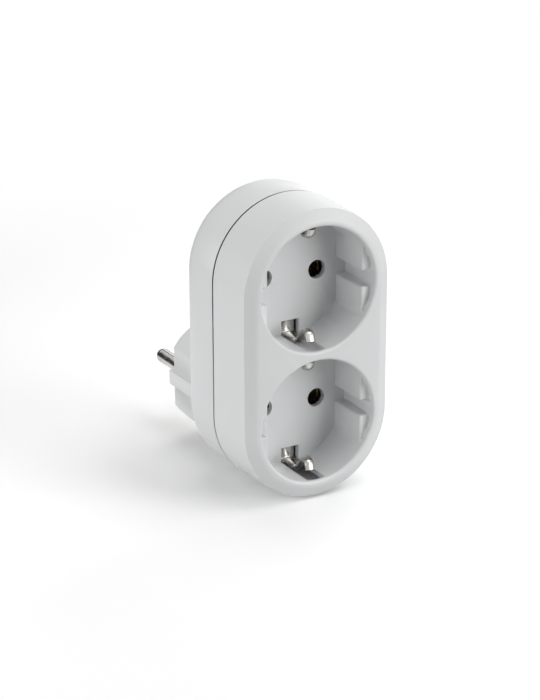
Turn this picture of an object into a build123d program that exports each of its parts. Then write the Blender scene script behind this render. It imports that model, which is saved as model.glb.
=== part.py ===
"""Two-way wall socket adapter: two earthed round sockets in front and a round two-pin plug behind.

The origin is the middle of the plug's end face, between its pins. +Y runs along the pins into the wall
outlet, the sockets face -Y, +Z is up and +X is to the right as seen from the front. All sizes are in mm.
"""

import os

from build123d import *

os.makedirs("parts", exist_ok=True)

# Pins of the plug, and of any plug that the sockets take
PIN_PITCH = 19.0
PIN_D = 4.8
PIN_LENGTH = 19.0

# Wells of the two sockets
WELL_D = 39.6
WELL_DEPTH = 17.5
WELL_WEB = 2.9
WELL_WALL = 1.6
FLOOR_T = 2.0
RIM_R = 0.9
PIN_HOLE_PLAY = 0.6
LIP_DEPTH = 2.7
FLAT_INSET = 3.4
FLAT_EDGE_R = 0.7
GROOVE_H = 5.2
SLOT_PLAY = 0.4
SLOT_CUT = 1.0
SLOT_BELOW_FACE = 1.5
WINDOW_H = 4.95

# Housing halves
RIM_W = 6.1
WALL = 2.0
REAR_WALL = 2.2
PIN_ROOM = 0.8
FRONT_DRAFT = 1.6
FRONT_EDGE_R = 3.5
REAR_EDGE_R = 6.5
FLOOR_TO_SEAM = 0.6
SEAM_GAP = 0.6
SEAM_DEPTH = 1.3
TONGUE_T = 1.2
TONGUE_H = 2.0
SLIDE_GAP = 0.15

# Plug on the back
PLUG_LENGTH = 28.8
PLUG_DROP = 4.5
PLUG_PLAY = 1.75
PLUG_DRAFT = 2.5
PLUG_EDGE_R = 2.6
PLUG_WALL = 1.6
PLUG_END_T = 3.0
PLUG_ROOT = 3.5
RIB_OUT = 1.7
RIB_PLAY = 0.4
RIB_SETBACK = 0.9
RIB_EDGE_R = 0.8
RECESS_DEPTH = 1.45
RECESS_BACK_T = 1.4

# Strip metal, its bends and its rivets
STRIP_T = 0.8
STRIP_GAP = 0.1
BEND_R = 0.8
RIVET_D = 2.0
RIVET_HEAD_D = 3.6
RIVET_HEAD_H = 0.5
HOLE_PLAY = 0.05

# Bars and leaf contacts of the two poles
CONTACT_T = 0.6
CONTACT_PINCH = 0.4
CONTACT_H = 7.0
CONTACT_LENGTH = 11.5
CONTACT_TAIL = 6.0
CONTACT_SETBACK = 2.5
MOUTH_FLARE = 0.8
MOUTH_LENGTH = 2.0
BAR_W = 7.0
BAR_LEG_H = 6.0
BAR_ROOM = 0.4
BAR_POST_T = 4.2
BAR_POST_W = 5.0
BAR_GRIP = 2.0

# Earth strips
CLIP_W = 5.4
ARM_W = 4.0
ARM_INSET = 0.3
ARM_RUN = 5.5
CREST_BELOW_FACE = 7.0
CREST_RISE = 5.7
CREST_R = 2.6
TIP_BELOW_FACE = 3.6
TIP_RISE = 2.9
EARTH_BAR_W = 5.0
EARTH_JOIN_BACK = 19.3
EARTH_TAB_H = 8.0
EARTH_ARM_SETBACK = 1.0
CLAMP_POST_D = 4.0
CLAMP_POST_OUT = 10.0

# Plug pin roots, inside the plug
ROOT_STEP = 0.2
FLANGE_STEP = 1.1
FLANGE_T = 1.2
SPIGOT_D = 3.0
PEEN_STEP = 0.6
PEEN_T = 0.6

# Housing screws
SCREW_D = 3.0
SCREW_LENGTH = 12.0
SCREW_PLAY = 0.2
SCREW_HEAD_D = 5.6
SCREW_HEAD_H = 2.0
SCREW_DRIVE_W = 0.9
SCREW_DRIVE_L = 3.4
SCREW_DRIVE_DEPTH = 1.1
SCREW_SEAT_T = 5.0
SCREW_TIP_ROOM = 1.0
POST_WALL = 1.6
SCREW_FROM_BAR = 1.4

# Sizes that follow from the ones above
WELL_R = WELL_D / 2
PIN_X = PIN_PITCH / 2
PIN_R = PIN_D / 2
SOCKET_PITCH = WELL_D + WELL_WEB
BODY_R = WELL_R + RIM_W
FRONT_DEPTH = WELL_DEPTH + FLOOR_T + FLOOR_TO_SEAM
BODY_DEPTH = WELL_DEPTH + PIN_LENGTH + PIN_ROOM + REAR_WALL
REAR_DEPTH = BODY_DEPTH - FRONT_DEPTH
LOWER_Z = PLUG_DROP
UPPER_Z = PLUG_DROP + SOCKET_PITCH
MIDDLE_Z = (LOWER_Z + UPPER_Z) / 2
SOCKETS = (("upper", UPPER_Z), ("lower", LOWER_Z))
SIDES = (("left", -1), ("right", 1))

# Depths along Y, from the front face to the back
REAR_Y = -PLUG_LENGTH
FACE_Y = REAR_Y - BODY_DEPTH
FLOOR_Y = FACE_Y + WELL_DEPTH
BACK_Y = FLOOR_Y + FLOOR_T
SEAM_Y = FACE_Y + FRONT_DEPTH
CAVITY_Y = REAR_Y - REAR_WALL
CONTACT_Y = BACK_Y + CONTACT_SETBACK
BAR_Y = CONTACT_Y + MOUTH_LENGTH
TAB_Y = -PLUG_END_T - FLANGE_T
EARTH_JOIN_Y = -EARTH_JOIN_BACK
SCREW_SEAT_Y = SEAM_Y + SCREW_SEAT_T

# Distances from the middle plane
CONTACT_GAP = PIN_D - CONTACT_PINCH
BAR_X = PIN_X + CONTACT_GAP / 2 + CONTACT_T
BAR_OUT_X = BAR_X + STRIP_T
PLUG_FLAT_X = BAR_OUT_X + BAR_ROOM + PLUG_WALL
SCREW_TUBE_R = SCREW_HEAD_D / 2 + SCREW_PLAY + WALL / 2
SCREW_X = BAR_OUT_X + SCREW_FROM_BAR + SCREW_TUBE_R
SLOT_W = CLIP_W + 2 * SLOT_PLAY

# Radii from a socket's axis, and from the plug's
FLAT_X = WELL_R - FLAT_INSET
BAR_POST_OUT = CONTACT_H / 2 + CONTACT_TAIL + BAR_ROOM + BAR_POST_W / 2
SLOT_R = WELL_R + SLOT_CUT
ARM_R = WELL_R - ARM_INSET
PLUG_R = WELL_R - PLUG_PLAY
RECESS_R = PLUG_R - RECESS_DEPTH
PLUG_BORE_R = RECESS_R - RECESS_BACK_T
EARTH_ARM_R = RECESS_R + HOLE_PLAY + STRIP_T

# Radii from a plug pin's axis
ROOT_R = PIN_R + ROOT_STEP
FLANGE_R = ROOT_R + FLANGE_STEP
SPIGOT_R = SPIGOT_D / 2
PEEN_R = SPIGOT_R + PEEN_STEP


def across(y):
    """A plane across the depth at y, seen from the front: its normal is -Y."""
    return Plane.XZ.offset(-y)


def along(z):
    """The middle plane, cut along the depth, with its origin at height z: its normal is +X."""
    return Plane.YZ.shift_origin((0, 0, z))


def stadium(radius):
    """The body's upright outline with round ends, for use in a sketch across the depth."""
    with Locations((0, MIDDLE_Z)):
        SlotCenterToCenter(SOCKET_PITCH, 2 * radius, rotation=90)


def bent_strip(points, radii):
    """The section of a strip bent along the points, with its thickness on the left of their path."""
    with BuildSketch() as section:
        with BuildLine():
            FilletPolyline(*points, radius=radii)
            offset(amount=STRIP_T, side=Side.LEFT)
        make_face()
    return section.sketch


def write(piece, name):
    """Label a finished piece and write it as a STEP file of that name."""
    piece.label = name
    export_step(piece, f"parts/{name}.step")


# Blocks in a well, below its round lip: a flat on each side with a groove across its middle
with BuildPart() as flat_blocks:
    ledge_y = FACE_Y + LIP_DEPTH
    with BuildSketch(across(ledge_y)):
        with Locations((FLAT_X, GROOVE_H / 2)):
            Rectangle(WELL_R, WELL_R, align=Align.MIN)
    extrude(amount=LIP_DEPTH - WELL_DEPTH - FLOOR_T / 2)
    corner = (FLAT_X, ledge_y, GROOVE_H / 2)
    fillet(flat_blocks.edges().sort_by_distance(corner)[:3], FLAT_EDGE_R)
    with BuildSketch(across(FACE_Y)):
        Circle(WELL_R + WELL_WALL / 2)
    extrude(amount=-WELL_DEPTH - FLOOR_T, mode=Mode.INTERSECT)
    mirror(about=Plane.XY)
    mirror(about=Plane.YZ)

# Front half: a drafted tub with the two wells, their floors, and seats for what lies behind them
with BuildPart() as front_housing:
    with BuildSketch(across(SEAM_Y)):
        stadium(BODY_R)
    extrude(amount=FRONT_DEPTH, taper=FRONT_DRAFT)
    fillet(front_housing.faces().sort_by(Axis.Y)[0].edges(), FRONT_EDGE_R)
    with BuildSketch(across(SEAM_Y)):
        stadium(BODY_R - WALL)
    extrude(amount=FRONT_DEPTH - WALL, taper=FRONT_DRAFT, mode=Mode.SUBTRACT)

    # Shadow gap round the seam
    with BuildSketch(across(SEAM_Y)):
        stadium(BODY_R + SEAM_DEPTH)
        with Locations((0, MIDDLE_Z)):
            SlotCenterToCenter(SOCKET_PITCH, 2 * (BODY_R - SEAM_DEPTH), rotation=90, mode=Mode.SUBTRACT)
    extrude(amount=SEAM_GAP, mode=Mode.SUBTRACT)

    # Walls and floors of the wells, and the posts that the screws go into
    with BuildSketch(across(BACK_Y)):
        for _, z in SOCKETS:
            with Locations((0, z)):
                Circle(WELL_R + WELL_WALL)
    extrude(amount=WELL_DEPTH + FLOOR_T - WALL / 2)
    with BuildSketch(across(SEAM_Y)):
        with Locations((-SCREW_X, MIDDLE_Z), (SCREW_X, MIDDLE_Z)):
            Circle(SCREW_D / 2 + POST_WALL)
    extrude(amount=FRONT_DEPTH - WALL / 2)
    with BuildSketch(across(SEAM_Y)):
        with Locations((-SCREW_X, MIDDLE_Z), (SCREW_X, MIDDLE_Z)):
            Circle(SCREW_D / 2 + HOLE_PLAY)
    extrude(amount=SCREW_LENGTH - SCREW_SEAT_T + SCREW_TIP_ROOM, mode=Mode.SUBTRACT)

    # The wells: round, with a rounded rim and the blocks that make their flats
    with BuildSketch(across(FACE_Y)):
        for _, z in SOCKETS:
            with Locations((0, z)):
                Circle(WELL_R)
    extrude(amount=-WELL_DEPTH, mode=Mode.SUBTRACT)
    rims = front_housing.faces().sort_by(Axis.Y)[0].inner_wires().edges()
    fillet(rims, RIM_R)
    with Locations(*[(0, 0, z) for _, z in SOCKETS]):
        add(flat_blocks.part)

    # Windows in the floor for the earth clips, with slots that go through the outer walls but not the web
    through_r = WELL_R + WELL_WALL + SLOT_PLAY
    with BuildSketch(across(FACE_Y + SLOT_BELOW_FACE)):
        for z, up, slot_r in (
            (UPPER_Z, 1, through_r),
            (UPPER_Z, -1, SLOT_R),
            (LOWER_Z, 1, SLOT_R),
            (LOWER_Z, -1, through_r),
        ):
            with Locations((0, z + up * (slot_r + WELL_R - WINDOW_H) / 2)):
                Rectangle(SLOT_W, slot_r - WELL_R + WINDOW_H)
    extrude(amount=SLOT_BELOW_FACE - WELL_DEPTH - FLOOR_T, mode=Mode.SUBTRACT)
    with BuildSketch(across(FLOOR_Y)):
        for _, z in SOCKETS:
            with Locations((-PIN_X, z), (PIN_X, z)):
                Circle(PIN_R + PIN_HOLE_PLAY)
    extrude(amount=-FLOOR_T, mode=Mode.SUBTRACT)

    # Behind the floors: pockets for the rivets of the earth clips, and slotted posts that grip the bars
    with BuildSketch(across(BACK_Y)):
        for _, z in SOCKETS:
            with Locations((0, z)):
                Circle(RIVET_HEAD_D / 2 + STRIP_GAP)
    extrude(amount=RIVET_HEAD_H + STRIP_GAP, mode=Mode.SUBTRACT)
    post_spots = [
        (side * (BAR_X + STRIP_T / 2), z)
        for _, side in SIDES
        for z in (UPPER_Z - BAR_POST_OUT, LOWER_Z + BAR_POST_OUT)
    ]
    with BuildSketch(across(BAR_Y + BAR_GRIP)):
        with Locations(*post_spots):
            Rectangle(BAR_POST_T, BAR_POST_W)
    extrude(amount=BAR_Y + BAR_GRIP - BACK_Y)
    with BuildSketch(across(BAR_Y + BAR_GRIP)):
        with Locations(*post_spots):
            Rectangle(STRIP_T + STRIP_GAP, BAR_POST_W)
    extrude(amount=BAR_GRIP, mode=Mode.SUBTRACT)

# Guide ribs on the flats of the plug: one bar that runs right across it before the plug is hollowed
with BuildPart() as guide_ribs:
    with BuildSketch(across(-RIB_SETBACK)):
        Rectangle(2 * (PLUG_FLAT_X + RIB_OUT), GROOVE_H - RIB_PLAY)
    extrude(amount=PLUG_LENGTH + REAR_WALL / 2 - RIB_SETBACK)
    fillet(guide_ribs.faces().sort_by(Axis.Y)[-1].edges(), RIB_EDGE_R)

# Rear half: a tub with rounded back edges, a tongue inside the seam, and the hollow plug body
with BuildPart() as rear_housing:
    with BuildSketch(across(SEAM_Y)):
        stadium(BODY_R)
    extrude(amount=-REAR_DEPTH)
    fillet(rear_housing.faces().sort_by(Axis.Y)[-1].edges(), REAR_EDGE_R)
    with BuildSketch(across(SEAM_Y)):
        stadium(BODY_R - WALL)
    extrude(amount=REAR_WALL - REAR_DEPTH, mode=Mode.SUBTRACT)
    cavity_end = rear_housing.faces().filter_by(Axis.Y).sort_by(Axis.Y)[-2]
    fillet(cavity_end.edges(), REAR_EDGE_R - REAR_WALL)

    # Tongue that centres the front half
    with BuildSketch(across(SEAM_Y + TONGUE_H)):
        stadium(BODY_R - WALL / 2)
        with Locations((0, MIDDLE_Z)):
            inner_r = BODY_R - WALL - SLIDE_GAP - TONGUE_T
            SlotCenterToCenter(SOCKET_PITCH, 2 * inner_r, rotation=90, mode=Mode.SUBTRACT)
    extrude(amount=TONGUE_H)
    with BuildSketch(across(SEAM_Y)):
        stadium(BODY_R - WALL - SLIDE_GAP)
        with Locations((0, MIDDLE_Z)):
            SlotCenterToCenter(SOCKET_PITCH, 2 * inner_r, rotation=90, mode=Mode.SUBTRACT)
    extrude(amount=TONGUE_H)

    # Plug body: drafted, with a flat on each side, a rounded end and a guide rib on each flat
    with BuildSketch(across(0)):
        Circle(PLUG_R)
        Rectangle(2 * PLUG_FLAT_X, 2 * PLUG_R, mode=Mode.INTERSECT)
    extrude(amount=PLUG_LENGTH + PLUG_ROOT, taper=-PLUG_DRAFT)
    fillet(rear_housing.faces().sort_by(Axis.Y)[-1].edges(), PLUG_EDGE_R)
    add(guide_ribs.part)

    # Hollow of the plug, open to the body, with room for the bars and the flanges of the pins
    with BuildSketch(across(-PLUG_END_T)):
        Circle(PLUG_BORE_R)
        Rectangle(2 * (BAR_OUT_X + BAR_ROOM), 2 * PLUG_BORE_R, mode=Mode.INTERSECT)
        Rectangle(2 * (BAR_OUT_X + BAR_ROOM), BAR_LEG_H + 2 * BAR_ROOM)
        with Locations((-PIN_X, 0), (PIN_X, 0)):
            Circle(FLANGE_R + STRIP_GAP)
    extrude(amount=PLUG_LENGTH - PLUG_END_T + PLUG_ROOT, mode=Mode.SUBTRACT)
    with BuildSketch(across(0)):
        with Locations((-PIN_X, 0), (PIN_X, 0)):
            Circle(ROOT_R + HOLE_PLAY)
    extrude(amount=PLUG_END_T, mode=Mode.SUBTRACT)

    # Recesses for the earth arms at the top and bottom, each with a slot into the hollow at its inner end
    recess_length = EARTH_JOIN_BACK + STRIP_GAP
    for up in (-1, 1):
        with BuildSketch(across(0)):
            with Locations((0, up * (RECESS_R + PLUG_R))):
                Rectangle(SLOT_W, 2 * PLUG_R)
        extrude(amount=recess_length, mode=Mode.SUBTRACT)
        with BuildSketch(across(STRIP_T + BEND_R - EARTH_JOIN_BACK)):
            with Locations((0, up * PLUG_BORE_R)):
                Rectangle(SLOT_W, PLUG_R)
        extrude(amount=STRIP_T + BEND_R + STRIP_GAP, mode=Mode.SUBTRACT)

    # Tubes for the screws, from the seam to the back
    with BuildSketch(across(CAVITY_Y + REAR_WALL / 2)):
        with Locations((-SCREW_X, MIDDLE_Z), (SCREW_X, MIDDLE_Z)):
            Circle(SCREW_TUBE_R)
    extrude(amount=CAVITY_Y + REAR_WALL / 2 - SEAM_Y)
    with BuildSketch(across(REAR_Y)):
        with Locations((-SCREW_X, MIDDLE_Z), (SCREW_X, MIDDLE_Z)):
            Circle(SCREW_HEAD_D / 2 + SCREW_PLAY)
    extrude(amount=REAR_Y - SCREW_SEAT_Y, mode=Mode.SUBTRACT)
    with BuildSketch(across(SCREW_SEAT_Y)):
        with Locations((-SCREW_X, MIDDLE_Z), (SCREW_X, MIDDLE_Z)):
            Circle(SCREW_D / 2 + SCREW_PLAY)
    extrude(amount=SCREW_SEAT_T, mode=Mode.SUBTRACT)

    # Posts that clamp the upper earth clip and the earth bar against the floors
    clamp_z = PLUG_BORE_R + CLAMP_POST_D
    for z, end_y in ((UPPER_Z + CLAMP_POST_OUT, BACK_Y + STRIP_T), (clamp_z, BACK_Y + 2 * STRIP_T)):
        with BuildSketch(across(CAVITY_Y + REAR_WALL / 2)):
            with Locations((0, z)):
                Circle(CLAMP_POST_D / 2)
        extrude(amount=CAVITY_Y + REAR_WALL / 2 - end_y)

write(front_housing.part, "front_housing")
write(rear_housing.part, "rear_housing")

# Plug pins: a round-ended shank, a root in the end wall, a flange behind it and a spigot peened over the bar
for side_name, side in SIDES:
    with BuildPart() as pin:
        with BuildSketch(Plane((side * PIN_X, 0, 0))):
            with BuildLine():
                tip = CenterArc((0, PIN_LENGTH - PIN_R), PIN_R, 0, 90)
                Polyline(
                    tip @ 1,
                    (0, TAB_Y - STRIP_T - PEEN_T),
                    (PEEN_R, TAB_Y - STRIP_T - PEEN_T),
                    (PEEN_R, TAB_Y - STRIP_T),
                    (SPIGOT_R, TAB_Y - STRIP_T),
                    (SPIGOT_R, TAB_Y),
                    (FLANGE_R, TAB_Y),
                    (FLANGE_R, -PLUG_END_T),
                    (ROOT_R, -PLUG_END_T),
                    (ROOT_R, 0),
                    (PIN_R, 0),
                    tip @ 0,
                )
            make_face()
        revolve(axis=Axis((side * PIN_X, 0, 0), (0, 1, 0)))
    write(pin.part, f"{side_name}_pin")

# Bars: a strip on edge past both sockets, with a leg into the plug that ends in a tab on the pin's spigot
bar_low_z = LOWER_Z - CONTACT_H / 2 - CONTACT_TAIL
bar_high_z = UPPER_Z + CONTACT_H / 2
tail_z = -CONTACT_H / 2 - CONTACT_TAIL / 2
rivet_y = BAR_Y + BAR_W / 2
with BuildPart() as right_bar:
    with BuildSketch(Plane.YZ.offset(BAR_X)):
        with Locations((BAR_Y, bar_low_z)):
            Rectangle(BAR_W, bar_high_z - bar_low_z, align=Align.MIN)
        with Locations((BAR_Y, -BAR_LEG_H / 2)):
            Rectangle(TAB_Y - BAR_Y, BAR_LEG_H, align=Align.MIN)
        with Locations(*[(rivet_y, z + tail_z) for _, z in SOCKETS]):
            Circle(RIVET_D / 2 + HOLE_PLAY, mode=Mode.SUBTRACT)
    extrude(amount=STRIP_T)
    with BuildSketch(across(TAB_Y)):
        with Locations((BAR_OUT_X, 0)):
            Rectangle(BAR_OUT_X - PIN_X + PEEN_R + STRIP_T, BAR_LEG_H, align=(Align.MAX, Align.CENTER))
        with Locations((PIN_X, 0)):
            Circle(SPIGOT_R + HOLE_PLAY, mode=Mode.SUBTRACT)
    extrude(amount=STRIP_T)
with BuildPart() as left_bar:
    mirror(right_bar.part, about=Plane.YZ)
write(right_bar.part, "right_bar")
write(left_bar.part, "left_bar")

# Leaf contacts: two leaves with a flared mouth, joined by a web, and a tail on the outer leaf for the rivet
for level, z in SOCKETS:
    with BuildPart() as right_contact:
        with BuildSketch(Plane((PIN_X, CONTACT_Y, z))):
            with BuildLine():
                Polyline(
                    (CONTACT_GAP / 2 + MOUTH_FLARE, 0),
                    (CONTACT_GAP / 2, MOUTH_LENGTH),
                    (CONTACT_GAP / 2, CONTACT_LENGTH),
                    (CONTACT_GAP / 2 + CONTACT_T, CONTACT_LENGTH),
                    (CONTACT_GAP / 2 + CONTACT_T, MOUTH_LENGTH),
                    (CONTACT_GAP / 2 + CONTACT_T + MOUTH_FLARE, 0),
                    close=True,
                )
            make_face()
            mirror(about=Plane.YZ)
        extrude(amount=CONTACT_H / 2, both=True)
        with BuildSketch(Plane((PIN_X, BAR_Y, z + CONTACT_H / 2))):
            Rectangle(CONTACT_GAP + 2 * CONTACT_T, BAR_W, align=(Align.CENTER, Align.MIN))
        extrude(amount=CONTACT_T)
        with BuildSketch(Plane.YZ.offset(BAR_X)):
            with Locations((rivet_y, z - CONTACT_H / 2)):
                Rectangle(BAR_W, CONTACT_TAIL, align=(Align.CENTER, Align.MAX))
            with Locations((rivet_y, z + tail_z)):
                Circle(RIVET_D / 2 + HOLE_PLAY, mode=Mode.SUBTRACT)
        extrude(amount=-CONTACT_T)
    with BuildPart() as left_contact:
        mirror(right_contact.part, about=Plane.YZ)
    write(right_contact.part, f"{level}_right_contact")
    write(left_contact.part, f"{level}_left_contact")

# Earth clips: bent strips that pass the windows and rise to a sprung crest at the top and bottom of each well
half_clip = [
    (BACK_Y, ARM_R),
    (FLOOR_Y - ARM_RUN, ARM_R),
    (FACE_Y + CREST_BELOW_FACE, WELL_R - CREST_RISE),
    (FACE_Y + TIP_BELOW_FACE, WELL_R - TIP_RISE),
]
clip_points = half_clip[::-1] + [(y, -r) for y, r in half_clip]
clip_radii = [CREST_R, CREST_R, BEND_R, BEND_R, CREST_R, CREST_R]
for level, z in SOCKETS:
    with BuildPart() as clip:
        with BuildSketch(along(z)):
            add(bent_strip(clip_points, clip_radii))
        extrude(amount=CLIP_W / 2, both=True)
        with BuildSketch(across(FACE_Y)):
            with Locations((-ARM_W / 2 - CLIP_W / 2, z), (ARM_W / 2 + CLIP_W / 2, z)):
                Rectangle(CLIP_W, 2 * SLOT_R)
        extrude(amount=FACE_Y - FLOOR_Y, mode=Mode.SUBTRACT)
        with BuildSketch(across(BACK_Y)):
            with Locations((0, z)):
                Circle(RIVET_D / 2 + HOLE_PLAY)
        extrude(amount=-STRIP_T, mode=Mode.SUBTRACT)
    write(clip.part, f"{level}_earth_clip")

# Earth bar: down behind both clips, then back into the plug, with a tab on the plug's earth contact
outer_bends = [BEND_R + STRIP_T, BEND_R + STRIP_T]
earth_tab_z = EARTH_TAB_H - EARTH_BAR_W / 2
earth_bar_points = [
    (BACK_Y + STRIP_T, UPPER_Z + EARTH_BAR_W),
    (BACK_Y + STRIP_T, 0),
    (EARTH_JOIN_Y, 0),
    (EARTH_JOIN_Y, EARTH_TAB_H),
]
with BuildPart() as earth_bar:
    with BuildSketch(along(0)):
        add(bent_strip(earth_bar_points, outer_bends))
    extrude(amount=EARTH_BAR_W / 2, both=True)
    with BuildSketch(across(BACK_Y + STRIP_T)):
        for _, z in SOCKETS:
            with Locations((0, z)):
                Circle(RIVET_D / 2 + HOLE_PLAY)
    extrude(amount=-STRIP_T, mode=Mode.SUBTRACT)
    with BuildSketch(across(EARTH_JOIN_Y)):
        with Locations((0, earth_tab_z)):
            Circle(RIVET_D / 2 + HOLE_PLAY)
    extrude(amount=STRIP_T, mode=Mode.SUBTRACT)
write(earth_bar.part, "earth_bar")

# Earth contact of the plug: a cross strip inside, with an arm in the recess at the top and at the bottom
plug_earth_points = [
    (-EARTH_ARM_SETBACK, EARTH_ARM_R),
    (EARTH_JOIN_Y, EARTH_ARM_R),
    (EARTH_JOIN_Y, -EARTH_ARM_R),
    (-EARTH_ARM_SETBACK, -EARTH_ARM_R),
]
with BuildPart() as plug_earth_contact:
    with BuildSketch(along(0)):
        add(bent_strip(plug_earth_points, outer_bends))
    extrude(amount=CLIP_W / 2, both=True)
    with BuildSketch(across(EARTH_JOIN_Y)):
        with Locations((0, earth_tab_z)):
            Circle(RIVET_D / 2 + HOLE_PLAY)
    extrude(amount=-STRIP_T, mode=Mode.SUBTRACT)
write(plug_earth_contact.part, "plug_earth_contact")

# Rivets, each with a head on both sides of what it joins
with BuildPart() as earth_rivets:
    for y, z in ((BACK_Y, UPPER_Z), (BACK_Y, LOWER_Z), (EARTH_JOIN_Y - STRIP_T, earth_tab_z)):
        with BuildSketch(across(y)):
            with Locations((0, z)):
                Circle(RIVET_D / 2)
        extrude(amount=-2 * STRIP_T)
        for head_y, head in ((y, RIVET_HEAD_H), (y + 2 * STRIP_T, -RIVET_HEAD_H)):
            with BuildSketch(across(head_y)):
                with Locations((0, z)):
                    Circle(RIVET_HEAD_D / 2)
            extrude(amount=head)
write(earth_rivets.part, "earth_rivets")

with BuildPart() as contact_rivets:
    for _, side in SIDES:
        for inner_x, length, radius in (
            (BAR_X - CONTACT_T, CONTACT_T + STRIP_T, RIVET_D / 2),
            (BAR_X - CONTACT_T - RIVET_HEAD_H, RIVET_HEAD_H, RIVET_HEAD_D / 2),
            (BAR_OUT_X, RIVET_HEAD_H, RIVET_HEAD_D / 2),
        ):
            with BuildSketch(Plane.YZ.offset(side * inner_x)):
                with Locations(*[(rivet_y, z + tail_z) for _, z in SOCKETS]):
                    Circle(radius)
            extrude(amount=side * length)
write(contact_rivets.part, "contact_rivets")

# Housing screws, put in from the back
with BuildPart() as housing_screws:
    with BuildSketch(across(SCREW_SEAT_Y)):
        with Locations((-SCREW_X, MIDDLE_Z), (SCREW_X, MIDDLE_Z)):
            Circle(SCREW_D / 2)
    extrude(amount=SCREW_LENGTH)
    with BuildSketch(across(SCREW_SEAT_Y)):
        with Locations((-SCREW_X, MIDDLE_Z), (SCREW_X, MIDDLE_Z)):
            Circle(SCREW_HEAD_D / 2)
    extrude(amount=-SCREW_HEAD_H)
    with BuildSketch(across(SCREW_SEAT_Y + SCREW_HEAD_H)):
        with Locations((-SCREW_X, MIDDLE_Z), (SCREW_X, MIDDLE_Z)):
            Rectangle(SCREW_DRIVE_L, SCREW_DRIVE_W)
            Rectangle(SCREW_DRIVE_W, SCREW_DRIVE_L)
    extrude(amount=SCREW_DRIVE_DEPTH, mode=Mode.SUBTRACT)
write(housing_screws.part, "housing_screws")
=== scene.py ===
"""Looks of a two-way wall socket adapter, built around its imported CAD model.

The housings, bars and leaf contacts are copies of their solids with softened edges, and the front housing gets a
crisp rim round its face. The earth strips, the rivets and the screws are made by geometry nodes at the places that
the solids give. The pins keep their solids and get a finish. All sizes are in metres.
"""

import math

import bmesh
import bpy
from bpy.props import FloatProperty, FloatVectorProperty, IntProperty, PointerProperty
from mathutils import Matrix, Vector


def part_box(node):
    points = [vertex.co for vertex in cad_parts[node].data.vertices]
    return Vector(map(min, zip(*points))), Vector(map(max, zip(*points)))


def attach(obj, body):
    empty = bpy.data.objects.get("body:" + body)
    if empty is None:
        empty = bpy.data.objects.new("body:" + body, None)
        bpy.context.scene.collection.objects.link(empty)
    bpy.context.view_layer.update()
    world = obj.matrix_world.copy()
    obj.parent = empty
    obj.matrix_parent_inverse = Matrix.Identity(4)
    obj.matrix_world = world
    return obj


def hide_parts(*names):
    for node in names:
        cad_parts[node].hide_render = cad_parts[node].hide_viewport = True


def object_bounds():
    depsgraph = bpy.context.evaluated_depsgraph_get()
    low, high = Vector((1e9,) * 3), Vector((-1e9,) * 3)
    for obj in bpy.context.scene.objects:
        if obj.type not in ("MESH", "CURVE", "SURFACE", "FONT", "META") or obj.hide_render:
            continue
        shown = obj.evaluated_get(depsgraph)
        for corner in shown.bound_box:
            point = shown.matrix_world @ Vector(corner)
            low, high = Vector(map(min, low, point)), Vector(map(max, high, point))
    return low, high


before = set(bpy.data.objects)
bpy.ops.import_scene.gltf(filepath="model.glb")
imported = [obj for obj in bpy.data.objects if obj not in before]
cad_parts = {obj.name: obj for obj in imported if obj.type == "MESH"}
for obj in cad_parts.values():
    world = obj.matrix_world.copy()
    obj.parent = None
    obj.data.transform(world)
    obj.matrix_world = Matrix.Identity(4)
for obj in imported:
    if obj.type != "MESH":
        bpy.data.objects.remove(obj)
CAD_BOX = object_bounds()

bl_info = {
    "name": "Socket Adapter Looks",
    "version": (1, 0, 0),
    "blender": (4, 5, 0),
    "location": "View3D > Sidebar > Adapter",
    "description": "Dresses a two-way wall socket adapter with moulded plastic, nickel and brass",
    "category": "Object",
}

BODY = "root"
IMAGE_SIZE = (540, 700)

# Name, azimuth and elevation in degrees, and share of the full power
LAMPS = (
    ("left_lamp", -72, 10, 0.86),
    ("back_left_lamp", -110, 8, 0.98),
    ("front_lamp", 32, 10, 1.36),
    ("top_lamp", 48, 58, 0.74),
    ("right_lamp", 112, 32, 0.5),
    ("back_right_lamp", 140, 20, 0.4),
    ("back_lamp", 160, 75, 0.58),
)

PINS = ("left_pin", "right_pin")
CLIPS = ("upper_earth_clip", "lower_earth_clip")
LIVE_PARTS = (
    "left_bar",
    "right_bar",
    "upper_left_contact",
    "upper_right_contact",
    "lower_left_contact",
    "lower_right_contact",
)

# An edge that turns by more is sharp, and faces that turn by less are one
SHARP = math.radians(30)
FLAT = math.radians(0.4)

# Distance at which points are one, in a copy of a solid and in a new mesh
MERGE = 1e-6
FINE_MERGE = 1e-7

# Turns in degrees, round the solid's rounded front edge, of the soft run into the face and of the crisp edge
SOFT_TURNS = (0, 7, 14, 21, 28, 35)
EDGE_TURNS = (66, 70, 74)

# How far a point of that rounded edge may lie off its round and past its end, and off a turn in radians
ROUND_SLACK = 0.00004
ROUND_END = 0.0002
TURN_SLACK = 1e-6

# Slack at the sides of the seam's gap, and the share of its painted shadow that is left where it has faded
SEAM_SLACK = 0.00002
SEAM_FAINT = 0.45

# Distance from row to row along a bent strip, and a distance that is outside the adapter
STRIP_STEP = 0.00025
FAR = 1.0

# Lowest cosine by which a corner's offset is stretched
MITRE_LIMIT = 0.2

# A screw's head in shares of its radius and height, its thread in shares of the pitch, and its tip's share of the core
PAN_HEAD = ((0.0, 1.0), (0.70, 1.0), (0.88, 0.88), (0.97, 0.66), (1.0, 0.40), (1.0, 0.06), (0.97, 0.0))
THREAD = (0.35, 0.55, 0.65, 0.85)
SCREW_TIP = 0.55

# Steps from the edge of a rivet's head to its top
DOME_STEPS = 6

# Range in which most of a noise lies
NOISE_MIDDLE = (0.3, 0.7)

# Gaps under the adapter and under the dark card, and the sides of the round floor
FLOOR_GAP = 0.0001
FLAG_GAP = 0.001
FLOOR_SIDES = 96


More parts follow.
